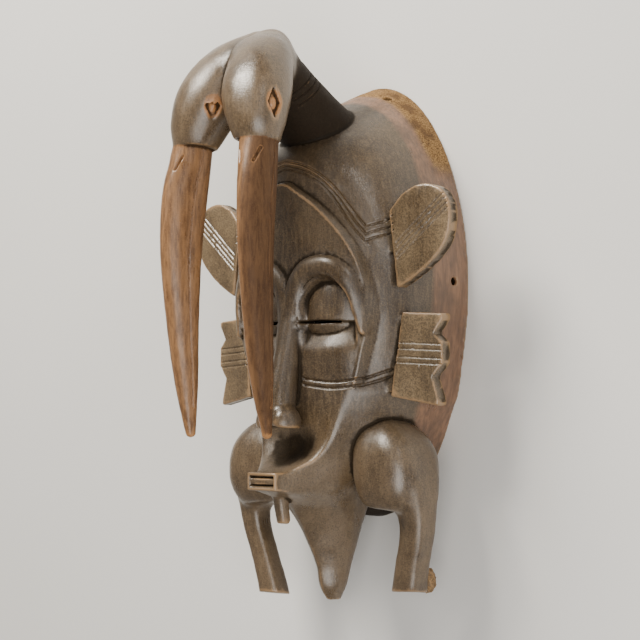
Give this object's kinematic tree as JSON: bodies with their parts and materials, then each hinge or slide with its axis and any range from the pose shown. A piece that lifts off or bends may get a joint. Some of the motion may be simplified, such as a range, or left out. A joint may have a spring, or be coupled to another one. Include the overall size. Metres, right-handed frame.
{
  "type": "hornbill face mask",
  "caption": "Oval carved wooden face mask, hollow at the back, with a pair of long-beaked bird heads arching over the brow, board ears, side flaps and short legs beside a pointed chin.",
  "frame": {"origin": "centre of the bounding box in plan, on the flat rim that the mask lies on", "axes": "+Z the way the face looks, away from the hollow back; +Y towards the top of the head; +X the right-hand side of the mask as seen from in front"},
  "size_m": [0.2342, 0.3893, 0.1797],
  "materials": {
    "dark_wood": "dark rubbed patina, half glossy, with worn reddish edges and beaks"
  },
  "bodies": {
    "root": {"hornbill_mask": "dark_wood"}
  },
  "joints": []
}
